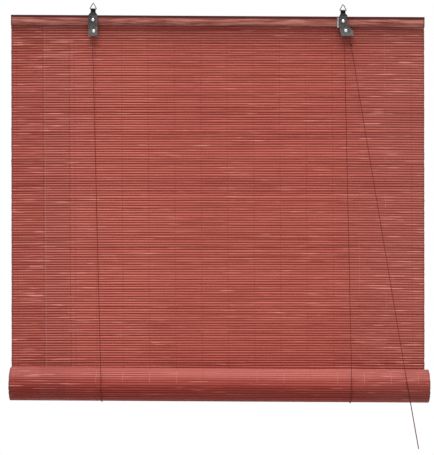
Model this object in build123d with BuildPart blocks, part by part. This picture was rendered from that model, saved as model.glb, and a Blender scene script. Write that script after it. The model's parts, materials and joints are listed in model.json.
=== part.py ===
from build123d import *
from math import asin, atan2, ceil, cos, degrees, hypot, radians, sin
import os

os.makedirs("parts", exist_ok=True)

# Frame: +X along the width, +Z up, the wall at y = 0 and the room at -Y.
# The origin is the centre of the flat land on the rear of the head rail.

# Head rail
rail_length = 1000.0
rail_height = 25.0
rail_depth = 12.0
rail_edge_radius = 1.5
rebate_height = 12.0
rebate_depth = 5.2

# Bamboo mat
slat_pitch = 5.95
slat_thickness = 2.0
groove_width = 1.0
groove_depth = 0.6
mat_slats = 147
mat_top_play = 0.3
warp_pitch = 63.7
warp_edge = 18.0
slit_width = 0.5
slit_warp_margin = 4.0
slit_count = 116
slit_stride_count = 7
slit_skip_count = 1

# Roll of the mat's lower end
roll_outer_radius = 40.8
roll_layer_gap = 0.3
roll_sweep = 1142.0
roll_drift = 9.0
tail_turn = 40.0
tail_slats = 5

# Bottom batten
batten_end_inset = 2.0
batten_width = 24.0
batten_thickness = 7.0
batten_edge_radius = 1.5

# Cords
cord_diameter = 1.6
cord_clearance = 0.3
cord_seat_gap = 0.15
left_cord_x = -272.0
right_cord_x = 322.0
rear_cord_top = -9.0
sling_run = 18.0
nip_run = 3.7
nip_turn = 40.5
nip_radius = 8.0
strand_run = 25.4
drum_exit_angle = 50.0
strand_spacing = 1.7

# Pull cord, as seen on the front of the roll and at its bare end
pull_roll_x = 455.0
pull_end_x = 481.4
pull_end_z = -1026.0
pull_run = 28.0

# Knot of the three cords
knot_length = 8.0
knot_end_radius = 1.9
knot_radius = 3.0

# Housings, folded from sheet steel
sheet = 1.0
bend_radius = 1.8
left_housing_x = -301.0
left_axle_offset = 2.0
left_axle_z = -33.0
left_cheek_gap = 5.7
left_housing_bottom = -44.6
plate_width = 22.0
lock_housing_x = 302.5
lock_axle_offset = 6.5
lock_axle_z = -28.6
lock_cheek_gap = 7.4
lock_housing_bottom = -41.5
lock_left_reach = 8.8
lock_right_reach = 10.5
lock_toe_reach = 25.5
lock_toe_height = 10.5
lock_slant_top = -12.0
lock_heel_reach = 4.0
lock_heel_z = -24.0
flange_reach = 5.2
flange_top = 3.0
flange_bottom = -21.0
shoulder_z = 7.6
shoulder_width = 19.6
neck_z = 13.6
neck_width = 11.6
curl_width = 11.6

# Hanging rings, bent from wire
ring_wire = 2.0
ring_bar_z = 20.5
ring_height = 16.0
ring_base = 17.4
ring_corner_radius = 1.7
ring_play = 0.2

# Pulleys, rivets, screws and spacers
pulley_radius = 5.2
groove_radius = 2.7
pulley_side_play = 0.2
pulley_flange = 0.9
cord_groove_play = 0.2
axle_diameter = 3.0
axle_play = 0.1
rivet_head_diameter = 6.8
rivet_head_height = 1.5
rivet_tail_diameter = 5.0
rivet_tail_height = 0.8
dome_share = 0.55
rim_share = 0.35
screw_diameter = 3.0
screw_grip = 6.0
screw_tip = 1.2
screw_z = -5.6
spacer_diameter = 6.0

# Cord lock
lock_roller_radius = 3.2
lock_roller_play = 0.2
trunnion_diameter = 2.4
trunnion_reach = 0.8
slot_travel = 3.5
slot_rise = 15.0
slot_play = 0.2
nip_drop = 2.5
guide_pin_diameter = 3.0
guide_pin_head = 0.6

# Staples
staple_wire = 0.6
staple_width = 1.2
staple_crown = 10.0
staple_leg = 7.0
staple_end_count = 2
staple_middle_count = 6
staple_end = 30.0
staple_drop = 5.0
cord_staple_crown = 5.0
cord_staple_play = 0.1

overrun = 5.0

# Places worked out from the sizes above
mat_width = rail_length
batten_length = mat_width - 2 * batten_end_inset
land_half = (rail_height - rebate_height) / 2
rail_bottom = -land_half - rebate_height
mat_front_y = -rebate_depth
mat_rear_y = mat_front_y + slat_thickness
mat_top_z = -land_half - mat_top_play
mat_bottom_z = mat_top_z - mat_slats * slat_pitch
roll_axis_y = mat_rear_y - roll_outer_radius
roll_axis_z = mat_bottom_z
layer_pitch = slat_thickness + roll_layer_gap
cord_radius = cord_diameter / 2
sling_radius = roll_outer_radius + cord_clearance + cord_radius
rear_cord_y = roll_axis_y + sling_radius
rear_cheek_y = -rail_depth - sheet
left_front_y = rear_cheek_y - left_cheek_gap
lock_front_y = rear_cheek_y - lock_cheek_gap
left_mid_y = rear_cheek_y - left_cheek_gap / 2
left_axle_x = left_housing_x + left_axle_offset
lock_axle_x = lock_housing_x + lock_axle_offset
wrap_radius = groove_radius + cord_groove_play + cord_radius
lock_strand_y = left_mid_y - strand_spacing
rail_front = Plane.XZ.offset(rail_depth)


def save(builder, name):
    """Label a finished sub-part and write its STEP file."""
    builder.part.label = name
    export_step(builder.part, f"parts/{name}.step")


def turned(x, z, outline):
    """Turn an outline of (radius, y) points about an axis along Y through (x, z)."""
    plane = Plane(origin=(x, 0, z), x_dir=(1, 0, 0), z_dir=(0, 0, 1))
    with BuildPart() as piece:
        with BuildSketch(plane):
            with BuildLine():
                Polyline(*outline, close=True)
            make_face()
        revolve(axis=Axis((x, 0, z), (0, 1, 0)))
    return piece


def pair(point):
    """A planar point as a pair of numbers, which the plane of a line then places."""
    return (point.X, point.Y)


def tube(path):
    """Sweep the cord's round section along a path."""
    with BuildPart() as cord:
        with BuildSketch(Plane(origin=path @ 0, z_dir=path % 0)):
            Circle(cord_radius)
        sweep(path=path)
    return cord


# Head rail: a plain batten with a rebate low on its rear and a pilot hole for each fixing screw
with BuildPart() as head_rail:
    with BuildSketch(Plane.YZ) as section:
        with BuildLine():
            Polyline(
                (0, land_half),
                (0, -land_half),
                (mat_front_y, -land_half),
                (mat_front_y, rail_bottom),
                (-rail_depth, rail_bottom),
                (-rail_depth, land_half),
                close=True,
            )
        make_face()
        fillet(section.vertices().group_by(Axis.Y)[0], rail_edge_radius)
    extrude(amount=rail_length / 2, both=True)
    with BuildSketch(rail_front):
        with Locations((left_housing_x, screw_z), (lock_housing_x, screw_z)):
            Circle(screw_diameter / 2)
    extrude(amount=-screw_grip, mode=Mode.SUBTRACT)
save(head_rail, "head_rail")

# Mat: one wall with a ridge for each slat and a groove between slats on both faces
groove_half = groove_width / 2
slat_edges = [mat_top_z - k * slat_pitch for k in range(mat_slats + 1)]


def groove_points(face_y, inward):
    """The outline down one face of the mat, with a V groove at each joint between slats."""
    points = [(face_y, mat_top_z)]
    for z in slat_edges[1:-1]:
        points += [
            (face_y, z + groove_half),
            (face_y + inward * groove_depth, z),
            (face_y, z - groove_half),
        ]
    return points + [(face_y, mat_bottom_z)]


# Slits where daylight passes: one warp bay long, stepped across the mat from joint to joint
bay_count = int((mat_width - 2 * warp_edge) // warp_pitch)
bay_start = -mat_width / 2 + warp_edge
first_slit = ceil((mat_top_z - rail_bottom) / slat_pitch) + slit_skip_count
slit_places = [
    (bay_start + (slit_stride_count * k % bay_count + 1 / 2) * warp_pitch, slat_edges[first_slit + k])
    for k in range(slit_count)
]
with BuildPart() as blind_mat:
    with BuildSketch(Plane.YZ):
        with BuildLine():
            Polyline(*groove_points(mat_front_y, 1), *reversed(groove_points(mat_rear_y, -1)), close=True)
        make_face()
    extrude(amount=mat_width / 2, both=True)
    with BuildSketch(Plane.XZ):
        with Locations(*slit_places):
            Rectangle(warp_pitch - 2 * slit_warp_margin, slit_width)
    extrude(amount=rail_depth, mode=Mode.SUBTRACT)
save(blind_mat, "blind_mat")

# Roll: the mat wound from the rear tangent, under and up the front, then inwards to a straight tail
sweep_angles = [0.0]
while sweep_angles[-1] < roll_sweep:
    mid_radius = roll_outer_radius - slat_thickness / 2 - layer_pitch * sweep_angles[-1] / 360
    sweep_angles.append(sweep_angles[-1] + degrees(slat_pitch / mid_radius))


def winding(angle, depth):
    """A point of the winding, at a depth under its outer face, in the plane across the roll."""
    radius = roll_outer_radius - layer_pitch * angle / 360 - depth
    return Vector(cos(radians(angle)), -sin(radians(angle))) * radius


last_angle = sweep_angles[-1]
outward = Vector(cos(radians(last_angle)), -sin(radians(last_angle)))
along = Vector(-sin(radians(last_angle)), -cos(radians(last_angle)))
tail_along = along * cos(radians(tail_turn)) - outward * sin(radians(tail_turn))
tail_out = outward * cos(radians(tail_turn)) + along * sin(radians(tail_turn))
bend_out = outward * cos(radians(tail_turn / 2)) + along * sin(radians(tail_turn / 2))
bend_mid = winding(last_angle, slat_thickness / 2)
half_bend = slat_thickness / 2 / cos(radians(tail_turn / 2))
outer_points = [winding(0, 0)]
for angle in sweep_angles[1:-1]:
    half_angle = degrees(groove_half / roll_outer_radius)
    outer_points += [
        winding(angle - half_angle, 0),
        winding(angle, groove_depth),
        winding(angle + half_angle, 0),
    ]
outer_points.append(bend_mid + bend_out * half_bend)
for k in range(1, tail_slats):
    joint = bend_mid + tail_along * k * slat_pitch + tail_out * slat_thickness / 2
    outer_points += [
        joint - tail_along * groove_half,
        joint - tail_out * groove_depth,
        joint + tail_along * groove_half,
    ]
tail_end = bend_mid + tail_along * tail_slats * slat_pitch
outer_points.append(tail_end + tail_out * slat_thickness / 2)
inner_points = [winding(angle, slat_thickness) for angle in sweep_angles[:-1]]
inner_points += [bend_mid - bend_out * half_bend, tail_end - tail_out * slat_thickness / 2]
roll_plane = Plane(origin=(roll_drift, roll_axis_y, roll_axis_z), x_dir=(0, 1, 0), z_dir=(1, 0, 0))
with BuildPart() as mat_roll:
    with BuildSketch(roll_plane):
        with BuildLine():
            Polyline(*outer_points, *reversed(inner_points), close=True)
        make_face()
    extrude(amount=mat_width / 2, both=True)
save(mat_roll, "mat_roll")

# Bottom batten, lying flat on the inner face of the roll's tail
batten_start = tail_end - tail_along * batten_width - tail_out * slat_thickness / 2
batten_corners = [
    batten_start,
    batten_start + tail_along * batten_width,
    batten_start + tail_along * batten_width - tail_out * batten_thickness,
    batten_start - tail_out * batten_thickness,
]
with BuildPart() as bottom_batten:
    with BuildSketch(roll_plane) as batten_section:
        with BuildLine():
            Polyline(*batten_corners, close=True)
        make_face()
        fillet(batten_section.vertices(), batten_edge_radius)
    extrude(amount=batten_length / 2, both=True)
save(bottom_batten, "bottom_batten")

# Staples through the mat into the rail, and one over the fixed end of each lift cord
staple_z = -land_half - staple_drop


def staple_group(places, crown, crown_y):
    """Staples at the given x places, crowns at the rear and legs towards the room."""
    legs = [x + side * (crown - staple_wire) / 2 for x in places for side in (-1, 1)]
    with BuildPart() as staples:
        with BuildSketch(Plane.XY.offset(staple_z - staple_width / 2)):
            with Locations(*[(x, crown_y + staple_wire / 2) for x in places]):
                Rectangle(crown, staple_wire)
            with Locations(*[(x, crown_y + staple_wire - staple_leg / 2) for x in legs]):
                Rectangle(staple_wire, staple_leg)
        extrude(amount=staple_width)
    return staples


def end_places(start, cord_x):
    """Even places from a staple near the mat's end to half a pitch short of a lift cord."""
    pitch = (cord_x - start) / (staple_end_count - 1 / 2)
    return [start + k * pitch for k in range(staple_end_count)]


staple_reach = mat_width / 2 - staple_end
middle_pitch = (right_cord_x - left_cord_x) / staple_middle_count
mat_staple_places = end_places(-staple_reach, left_cord_x) + end_places(staple_reach, right_cord_x)
mat_staple_places += [left_cord_x + (k + 1 / 2) * middle_pitch for k in range(staple_middle_count)]
rail_staples = staple_group(mat_staple_places, staple_crown, mat_rear_y)
save(rail_staples, "rail_staples")
cord_crown_y = rear_cord_y + cord_radius + cord_staple_play
cord_staples = staple_group([left_cord_x, right_cord_x], cord_staple_crown, cord_crown_y)
save(cord_staples, "cord_staples")

# Housings: a strap folded over the ring's bar, its two leaves being the cheeks
curl_radius = ring_wire / 2 + ring_play + sheet
ring_bar_y = -rail_depth - curl_radius


def neck_outline(x, left_reach, right_reach):
    """The strap's outline from its left shoulder over the neck to its right shoulder."""
    neck_half = neck_width / 2
    curl_half = curl_width / 2
    top = ring_bar_z + curl_radius + sheet
    return [
        (x - left_reach, shoulder_z),
        (x - neck_half, neck_z),
        (x - curl_half, ring_bar_z),
        (x - curl_half, top),
        (x + curl_half, top),
        (x + curl_half, ring_bar_z),
        (x + neck_half, neck_z),
        (x + right_reach, shoulder_z),
    ]


def folded_strap(front_y, bottom, outline, x, axle):
    """The folded strip, trimmed to its outline, with holes for the axle and the fixing screw."""
    front_outer = front_y - sheet
    curl_front = ring_bar_y - curl_radius
    with BuildPart() as strap:
        with BuildSketch(Plane.YZ.offset(x)):
            with BuildLine():
                Line((-rail_depth, bottom), (-rail_depth, ring_bar_z))
                CenterArc((ring_bar_y, ring_bar_z), curl_radius, 0, 180)
                FilletPolyline(
                    (curl_front, ring_bar_z),
                    (curl_front, neck_z),
                    (front_outer, shoulder_z),
                    (front_outer, bottom),
                    radius=bend_radius,
                )
                offset(amount=sheet, side=Side.LEFT)
            make_face()
        extrude(amount=lock_toe_reach + plate_width, both=True)
        with BuildSketch(Plane.XZ):
            with BuildLine():
                Polyline(*outline, close=True)
            make_face()
        extrude(amount=-front_outer + overrun, mode=Mode.INTERSECT)
        with BuildSketch(Plane.XZ):
            with Locations(axle):
                Circle(axle_diameter / 2)
            with Locations((x, screw_z)):
                Circle(screw_diameter / 2 + axle_play)
        extrude(amount=-front_outer + overrun, mode=Mode.SUBTRACT)
    return strap


half_shoulder = shoulder_width / 2
half_plate = plate_width / 2
left_outline = neck_outline(left_housing_x, half_shoulder, half_shoulder) + [
    (left_housing_x + half_plate, shoulder_z - (half_plate - half_shoulder)),
    (left_housing_x + half_plate, left_housing_bottom),
    (left_housing_x - half_plate, left_housing_bottom),
    (left_housing_x - half_plate, shoulder_z - (half_plate - half_shoulder)),
]
left_axle = (left_axle_x, left_axle_z)
left_housing = folded_strap(left_front_y, left_housing_bottom, left_outline, left_housing_x, left_axle)
save(left_housing, "left_housing")

# Lock housing: the same strap with a bevelled side flange and a toe that holds the nip
toe_x = lock_housing_x + lock_toe_reach
lock_outline = neck_outline(lock_housing_x, lock_left_reach, lock_right_reach) + [
    (lock_housing_x + lock_right_reach, lock_slant_top),
    (toe_x, lock_housing_bottom + lock_toe_height),
    (toe_x, lock_housing_bottom),
    (lock_housing_x - lock_heel_reach, lock_housing_bottom),
    (lock_housing_x - lock_left_reach, lock_heel_z),
]
lock_axle = (lock_axle_x, lock_axle_z)
lock_strap = folded_strap(lock_front_y, lock_housing_bottom, lock_outline, lock_housing_x, lock_axle)

# Route of the strands from the lock's pulley through the nip to the knot
exit_angle = radians(drum_exit_angle)
drum_exit = Vector(
    lock_axle_x + wrap_radius * cos(exit_angle),
    lock_axle_z + wrap_radius * sin(exit_angle),
)
nip_direction = Vector(sin(exit_angle), -cos(exit_angle))
strand_angle = drum_exit_angle - 90 - nip_turn
strand_direction = Vector(cos(radians(strand_angle)), sin(radians(strand_angle)))
strand_side = Vector(-strand_direction.Y, strand_direction.X)
nip_start = drum_exit + nip_direction * nip_run
turn_centre = nip_start - Vector(-nip_direction.Y, nip_direction.X) * nip_radius
strand_start = turn_centre + strand_side * nip_radius
strand_end = strand_start + strand_direction * strand_run
nip_point = strand_start + strand_direction * nip_drop
roller_place = nip_point + strand_side * (cord_radius + cord_clearance + lock_roller_radius)
pin_place = nip_point - strand_side * (cord_radius + cord_clearance + guide_pin_diameter / 2)
slot_direction = Vector(cos(radians(slot_rise)), sin(radians(slot_rise)))
slot_middle = roller_place + slot_direction * slot_travel / 2
flange_x = lock_housing_x - lock_left_reach
flange_y = lock_front_y - sheet
with BuildPart() as lock_housing:
    add(lock_strap.part)
    with BuildSketch(Plane.XY.offset(flange_bottom)):
        with BuildLine():
            Polyline(
                (flange_x, flange_y),
                (flange_x - flange_reach, flange_y + flange_reach),
                (flange_x - flange_reach, flange_y + flange_reach + sheet),
                (flange_x, flange_y + sheet),
                close=True,
            )
        make_face()
    extrude(amount=flange_top - flange_bottom)
    with BuildSketch(Plane.XZ):
        with Locations(pair(slot_middle)):
            SlotCenterToCenter(slot_travel, trunnion_diameter + 2 * slot_play, rotation=slot_rise)
        with Locations(pair(pin_place)):
            Circle(guide_pin_diameter / 2)
    extrude(amount=-flange_y + overrun, mode=Mode.SUBTRACT)
save(lock_housing, "lock_housing")

# Hanging rings
for name, x in (("left_ring", left_housing_x), ("right_ring", lock_housing_x)):
    with BuildPart() as ring:
        with BuildLine(Plane.XZ.offset(-ring_bar_y)) as ring_path:
            FilletPolyline(
                (x + ring_base / 2, ring_bar_z),
                (x, ring_bar_z + ring_height),
                (x - ring_base / 2, ring_bar_z),
                radius=ring_corner_radius,
                close=True,
            )
        with BuildSketch(Plane(origin=ring_path.line @ 0, z_dir=ring_path.line % 0)):
            Circle(ring_wire / 2)
        sweep()
    save(ring, name)

# Pulleys on their rivets, fixing screws and the spacers between the cheeks
stations = (
    ("left", left_axle, left_front_y, left_housing_x, cord_diameter),
    ("lock", lock_axle, lock_front_y, lock_housing_x, cord_diameter + strand_spacing),
)
for side, axle, front_y, x, strands in stations:
    front_outer = front_y - sheet
    low = front_y + pulley_side_play
    high = rear_cheek_y - pulley_side_play
    middle = left_mid_y - (strands - cord_diameter) / 2
    floor_half = strands / 2 + cord_groove_play
    shank = axle_diameter / 2
    bore = shank + axle_play
    head = rivet_head_diameter / 2
    pulley = turned(
        *axle,
        [
            (bore, low),
            (pulley_radius, low),
            (pulley_radius, middle - floor_half - pulley_flange),
            (groove_radius, middle - floor_half),
            (groove_radius, middle + floor_half),
            (pulley_radius, middle + floor_half + pulley_flange),
            (pulley_radius, high),
            (bore, high),
        ],
    )
    save(pulley, f"{side}_pulley")
    rivet = turned(
        *axle,
        [
            (0, front_outer - rivet_head_height),
            (head * dome_share, front_outer - rivet_head_height),
            (head, front_outer - rivet_head_height * rim_share),
            (head, front_outer),
            (shank, front_outer),
            (shank, -rail_depth),
            (rivet_tail_diameter / 2, -rail_depth),
            (rivet_tail_diameter / 2, -rail_depth + rivet_tail_height),
            (0, -rail_depth + rivet_tail_height),
        ],
    )
    save(rivet, f"{side}_pulley_rivet")
    screw = turned(
        x,
        screw_z,
        [
            (0, front_outer - rivet_head_height),
            (head * dome_share, front_outer - rivet_head_height),
            (head, front_outer - rivet_head_height * rim_share),
            (head, front_outer),
            (screw_diameter / 2, front_outer),
            (screw_diameter / 2, -rail_depth + screw_grip - screw_tip),
            (0, -rail_depth + screw_grip),
        ],
    )
    save(screw, f"{side}_screw")
    spacer = turned(
        x,
        screw_z,
        [
            (screw_diameter / 2 + axle_play, front_y),
            (spacer_diameter / 2, front_y),
            (spacer_diameter / 2, rear_cheek_y),
            (screw_diameter / 2 + axle_play, rear_cheek_y),
        ],
    )
    save(spacer, f"{side}_spacer")

# Brass lock roller in its slots and the fixed pin that it nips the cords against
trunnion = trunnion_diameter / 2
roller_low = lock_front_y + lock_roller_play
roller_high = rear_cheek_y - lock_roller_play
lock_roller = turned(
    *pair(roller_place),
    [
        (0, lock_front_y - sheet - trunnion_reach),
        (trunnion, lock_front_y - sheet - trunnion_reach),
        (trunnion, roller_low),
        (lock_roller_radius, roller_low),
        (lock_roller_radius, roller_high),
        (trunnion, roller_high),
        (trunnion, -rail_depth + trunnion_reach),
        (0, -rail_depth + trunnion_reach),
    ],
)
save(lock_roller, "lock_roller")
pin = guide_pin_diameter / 2
lock_guide_pin = turned(
    *pair(pin_place),
    [
        (0, lock_front_y - sheet),
        (pin, lock_front_y - sheet),
        (pin, -rail_depth + guide_pin_head),
        (0, -rail_depth + guide_pin_head),
    ],
)
save(lock_guide_pin, "lock_guide_pin")

# Lift cords: a fixed rear run, a sling round the roll and a front run up to the pulley
lifts = (
    ("left", left_cord_x, left_axle_x, left_axle_z, left_mid_y),
    ("right", right_cord_x, lock_axle_x, lock_axle_z, lock_strand_y),
)
for side, x, axle_x, axle_z, strand_y in lifts:
    with BuildLine() as rear_path:
        Line((x, rear_cord_y, rear_cord_top), (x, rear_cord_y, roll_axis_z + cord_seat_gap))
    save(tube(rear_path.wire()), f"{side}_rear_cord")
    back = strand_y - roll_axis_y
    up = axle_z - roll_axis_z
    lean = atan2(back, up) + asin(sling_radius / hypot(back, up))
    with BuildLine(Plane.YZ.offset(x)) as sling_path:
        CenterArc((roll_axis_y, roll_axis_z), sling_radius, 0, -180 - degrees(lean))
        PolarLine(sling_path.line @ 1, sling_run, 90 - degrees(lean))
    save(tube(sling_path.wire()), f"{side}_sling")
    sling_top = sling_path.wire() @ 1
    front_top = Vector(axle_x - wrap_radius, strand_y, axle_z)
    front_run = (front_top - sling_top).normalized()
    with BuildLine() as front_path:
        Line(sling_top + front_run * cord_seat_gap, front_top - front_run * cord_seat_gap)
    save(tube(front_path.wire()), f"{side}_front_cord")
    print(side, "sling radius", sling_radius, "lean", round(degrees(lean), 2))

# The two strands over the pulleys and through the nip to the knot
rise = degrees(atan2(lock_axle_z - left_axle_z, lock_axle_x - left_axle_x))
crown_angle = 90 + rise
for name, plane_y, from_left in (("cross_cord", left_mid_y, True), ("lock_cord", lock_strand_y, False)):
    with BuildLine(Plane.XZ.offset(-plane_y)) as strand:
        start_angle = 180.0
        if from_left:
            CenterArc(left_axle, wrap_radius, 180, crown_angle - 180)
            crown = Vector(cos(radians(crown_angle)), sin(radians(crown_angle))) * wrap_radius
            Line(pair(crown + Vector(*left_axle)), pair(crown + Vector(*lock_axle)))
            start_angle = crown_angle
        CenterArc(lock_axle, wrap_radius, start_angle, drum_exit_angle - start_angle)
        Line(pair(drum_exit), pair(nip_start))
        CenterArc(pair(turn_centre), nip_radius, drum_exit_angle, -nip_turn)
        Line(pair(strand_start), pair(strand_end))
    save(tube(strand.wire()), name)
    print(name, "radii", wrap_radius, nip_radius)

# Knot that joins both strands to the one pull cord
knot_top = Vector(strand_end.X, (left_mid_y + lock_strand_y) / 2, strand_end.Y)
knot_axis = Vector(strand_direction.X, 0, strand_direction.Y)
knot_plane = Plane(origin=knot_top, x_dir=(0, 1, 0), z_dir=(knot_axis.Z, 0, -knot_axis.X))
with BuildPart() as cord_knot:
    with BuildSketch(knot_plane):
        with BuildLine():
            Line((0, 0), (knot_end_radius, 0))
            ThreePointArc(
                (knot_end_radius, 0),
                (knot_radius, knot_length / 2),
                (knot_end_radius, knot_length),
            )
            Polyline((knot_end_radius, knot_length), (0, knot_length), (0, 0))
        make_face()
    revolve(axis=Axis(knot_top, knot_axis))
save(cord_knot, "cord_knot")

# Pull cord: straight from the knot to the front of the roll, and on from there to its bare end
knot_foot = knot_top + knot_axis * knot_length
pull_touch = Vector(pull_roll_x, roll_axis_y - sling_radius, roll_axis_z)
pull_end = Vector(pull_end_x, roll_axis_y - sling_radius, pull_end_z)
pull_upper = (knot_foot - pull_touch).normalized()
pull_split = pull_touch + pull_upper * pull_run
with BuildLine() as pull_path:
    Line(knot_foot - pull_upper * cord_seat_gap, pull_split + pull_upper * cord_seat_gap)
save(tube(pull_path.wire()), "pull_cord")
with BuildLine() as tail_path:
    FilletPolyline(pull_split, pull_touch, pull_end, radius=sling_radius)
save(tube(tail_path.wire()), "pull_cord_tail")
print("pull cord bend radius", sling_radius)
pull_length = pull_path.wire().length + tail_path.wire().length
print("pull cord length", round(pull_length, 1), "knot foot", knot_foot, "split", pull_split)
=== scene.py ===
"""Bamboo roller blind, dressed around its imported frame.

A stained rail carries a mat of bamboo slats on twined warp threads. The mat's foot is rolled up loosely and
hangs in two lift cords, which run through sheet-steel housings to one pull cord. All lengths are in metres.
"""

import json
import logging
import math
from dataclasses import dataclass, field
from enum import Enum
from typing import Any, Callable, Optional, Union

import bpy
import numpy as np
from mathutils import Matrix, Vector

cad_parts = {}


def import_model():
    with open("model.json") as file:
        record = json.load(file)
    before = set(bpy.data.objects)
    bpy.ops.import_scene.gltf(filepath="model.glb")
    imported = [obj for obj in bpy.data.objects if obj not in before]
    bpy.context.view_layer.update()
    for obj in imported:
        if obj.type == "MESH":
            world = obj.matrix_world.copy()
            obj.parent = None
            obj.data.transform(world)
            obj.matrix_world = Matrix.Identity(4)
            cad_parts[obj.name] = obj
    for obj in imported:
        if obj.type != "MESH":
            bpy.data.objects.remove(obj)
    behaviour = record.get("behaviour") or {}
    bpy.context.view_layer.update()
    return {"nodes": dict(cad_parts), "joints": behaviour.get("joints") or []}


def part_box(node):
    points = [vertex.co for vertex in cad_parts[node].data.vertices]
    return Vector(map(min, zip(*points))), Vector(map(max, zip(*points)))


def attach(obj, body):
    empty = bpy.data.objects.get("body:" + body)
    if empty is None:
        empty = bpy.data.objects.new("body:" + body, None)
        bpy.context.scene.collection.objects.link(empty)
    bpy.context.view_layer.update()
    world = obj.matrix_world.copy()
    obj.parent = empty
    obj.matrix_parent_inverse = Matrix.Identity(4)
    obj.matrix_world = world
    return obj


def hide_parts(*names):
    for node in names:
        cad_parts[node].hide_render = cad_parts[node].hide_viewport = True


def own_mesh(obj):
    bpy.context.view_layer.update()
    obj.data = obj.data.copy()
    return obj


log = logging.getLogger("bamboo_blind")

SIDEWAYS = (1.0, 0.0, 0.0)
WHITE = (1.0, 1.0, 1.0, 1.0)
FULL_TURN = 2.0 * math.pi
CORD_RADIUS = 0.0008
CORD_SIDES = 10
PALE_LEVEL = 0.95

Point = tuple[float, float, float]
Colour = tuple[float, float, float, float]
Input = Union["Signal", float, tuple, Vector]
Pair = tuple[float, float]
# A warp line's number, and a length or a level of its own
Lines = tuple[tuple[int, float], ...]


class Body(Enum):
    """The moving bodies that new pieces ride on."""

    HEAD = "head"
    SLINGS = "slings"
    ROLL = "roll"


class Slot(Enum):
    """The record's material slots, which new pieces are passed but not given."""

    BAMBOO = "bamboo"
    CORD = "cord"
    BRIGHT_STEEL = "bright_steel"


class Recess(Enum):
    """What is sunk into the head of a fastener."""

    NONE = "none"
    CROSS = "cross"


def srgb(*levels: int) -> Colour:
    """A colour as light.

    Args:
        levels: Red, green and blue from 0 to 255, as on a screen.

    Returns:
        The linear colour with full alpha.
    """
    share = np.array(levels) / 255.0
    linear = np.where(share <= 0.04045, share / 12.92, ((share + 0.055) / 1.055) ** 2.4)
    return (*linear.tolist(), 1.0)


def math_method(operation: str, swapped: bool = False) -> Callable[..., "Signal"]:
    """A method that joins its signal to a Math node.

    Args:
        operation: The node's operation.
        swapped: Whether the other value comes first.

    Returns:
        The method, which gives the node's result.
    """

    def method(self: "Signal", other: Input = 0.0) -> "Signal":
        """Add the node for this signal and another value."""
        first, second = (other, self) if swapped else (self, other)
        return self.nodes.add("ShaderNodeMath", {"operation": operation}, {0: first, 1: second})

    return method


class Signal:
    """One output socket of a node tree, with the arithmetic that Math nodes do on it."""

    __add__ = math_method("ADD")
    __radd__ = math_method("ADD", swapped=True)
    __sub__ = math_method("SUBTRACT")
    __rsub__ = math_method("SUBTRACT", swapped=True)
    __mul__ = math_method("MULTIPLY")
    __rmul__ = math_method("MULTIPLY", swapped=True)
    __truediv__ = math_method("DIVIDE")
    __rtruediv__ = math_method("DIVIDE", swapped=True)
    __abs__ = math_method("ABSOLUTE")
    sine = math_method("SINE")
    fraction = math_method("FRACT")
    most = math_method("MAXIMUM")

    def __init__(self, nodes: "Nodes", socket: bpy.types.NodeSocket) -> None:
        """Hold the socket and the tree that it belongs to."""
        self.nodes = nodes
        self.socket = socket

    def between(self, low: float, high: float) -> "Signal":
        """A smooth step from 0 at low to 1 at high, clamped outside; with high below low it falls."""
        sockets = {"Value": self, "From Min": low, "From Max": high}
        return self.nodes.add("ShaderNodeMapRange", {"interpolation_type": "SMOOTHSTEP"}, sockets)

    def centred(self) -> "Signal":
        """A noise of 0 to 1 as a swing about 0."""
        return self - 0.5

    def raised(self, base: float, gain: float) -> "Signal":
        """The base plus the gain times the signal."""
        return base + self * gain


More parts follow.
